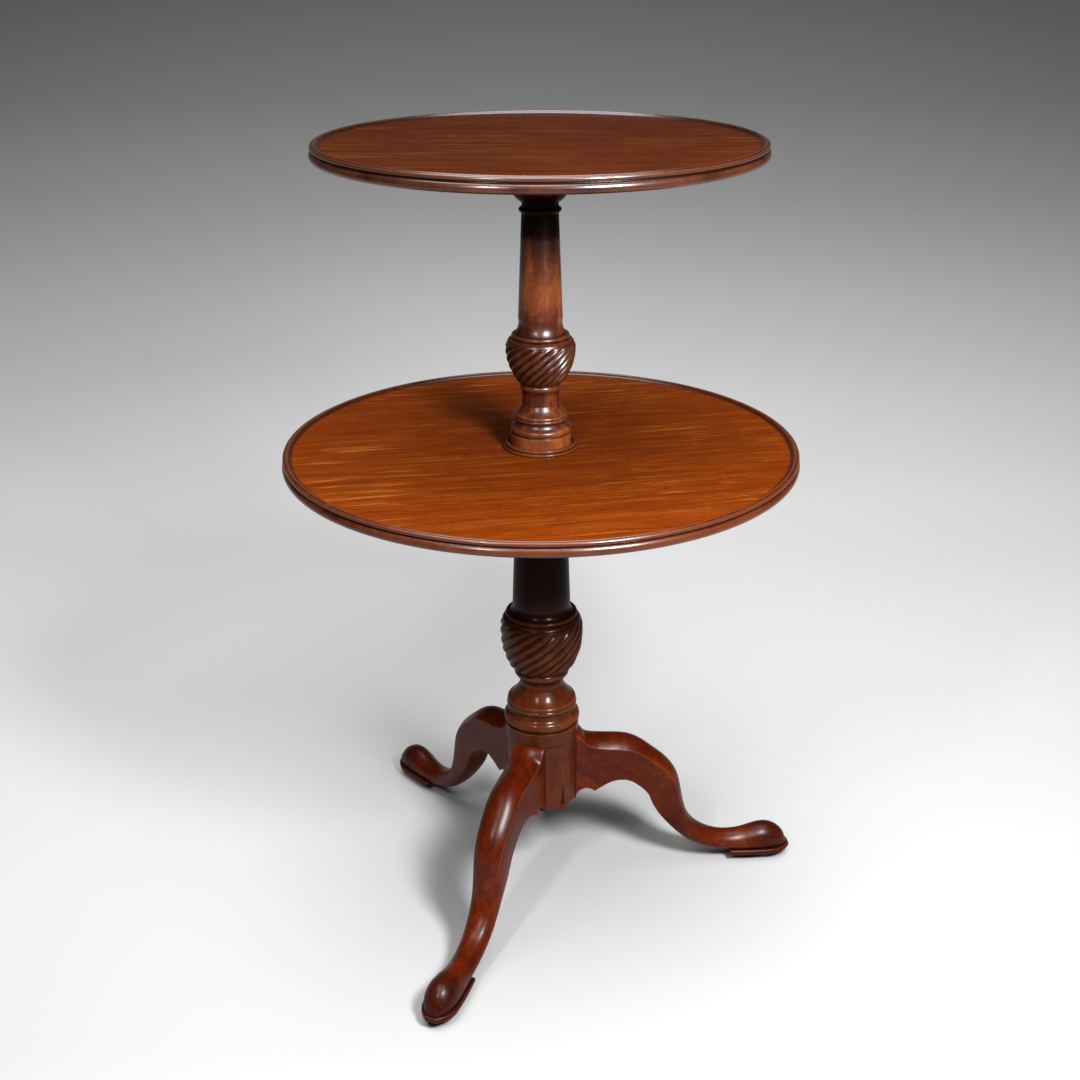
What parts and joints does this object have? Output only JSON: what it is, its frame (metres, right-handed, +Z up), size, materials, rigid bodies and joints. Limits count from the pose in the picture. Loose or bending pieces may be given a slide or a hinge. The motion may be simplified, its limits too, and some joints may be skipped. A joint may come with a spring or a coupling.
{
  "type": "dumbwaiter table",
  "caption": "Two-tier mahogany dumbwaiter table: dished round trays turning on a turned pillar with spiral-carved urns, on three cabriole legs with slipper feet.",
  "frame": {"origin": "on the floor, under the pillar's axis", "axes": "+Z up along the pillar's axis; the front leg points 112.5 degrees clockwise from +X seen from above, so -Y is the pictured front"},
  "size_m": [0.61, 0.5898, 0.914],
  "materials": {
    "mahogany": "french polished, dark, worn at the edges",
    "tray_mahogany_upper": "waxed, long straight grain",
    "tray_mahogany_lower": "waxed, faded to orange brown, long grain",
    "ring_mahogany": "polished",
    "dry_mahogany": "unpolished, dark with age",
    "iron": "wrought, dark",
    "screw_iron": "old iron screws",
    "glide_horn": "dark, dull"
  },
  "bodies": {
    "root": {"lower_column": "mahogany", "upper_column": "mahogany", "leg_strap": "iron", "strap_nails": "iron", "leg_front": "mahogany", "leg_right": "mahogany", "leg_left": "mahogany", "glide_front": "glide_horn", "glide_right": "glide_horn", "glide_left": "glide_horn"},
    "lower_tier": {"lower_tray": "tray_mahogany_lower", "lower_bearer": "dry_mahogany", "lower_bearer_screws": "screw_iron", "collar_ring": "ring_mahogany"},
    "upper_tier": {"upper_tray": "tray_mahogany_upper", "upper_bearer": "dry_mahogany", "upper_bearer_screws": "screw_iron"}
  },
  "joints": [
    {"name": "lower_tier_spin", "type": "hinge", "parent": "root", "child": "lower_tier", "pos_m": [0, 0, 0.5747], "axis": [0, 0, 1], "continuous": true},
    {"name": "upper_tier_spin", "type": "hinge", "parent": "root", "child": "upper_tier", "pos_m": [0, 0, 0.9], "axis": [0, 0, 1], "continuous": true}
  ]
}
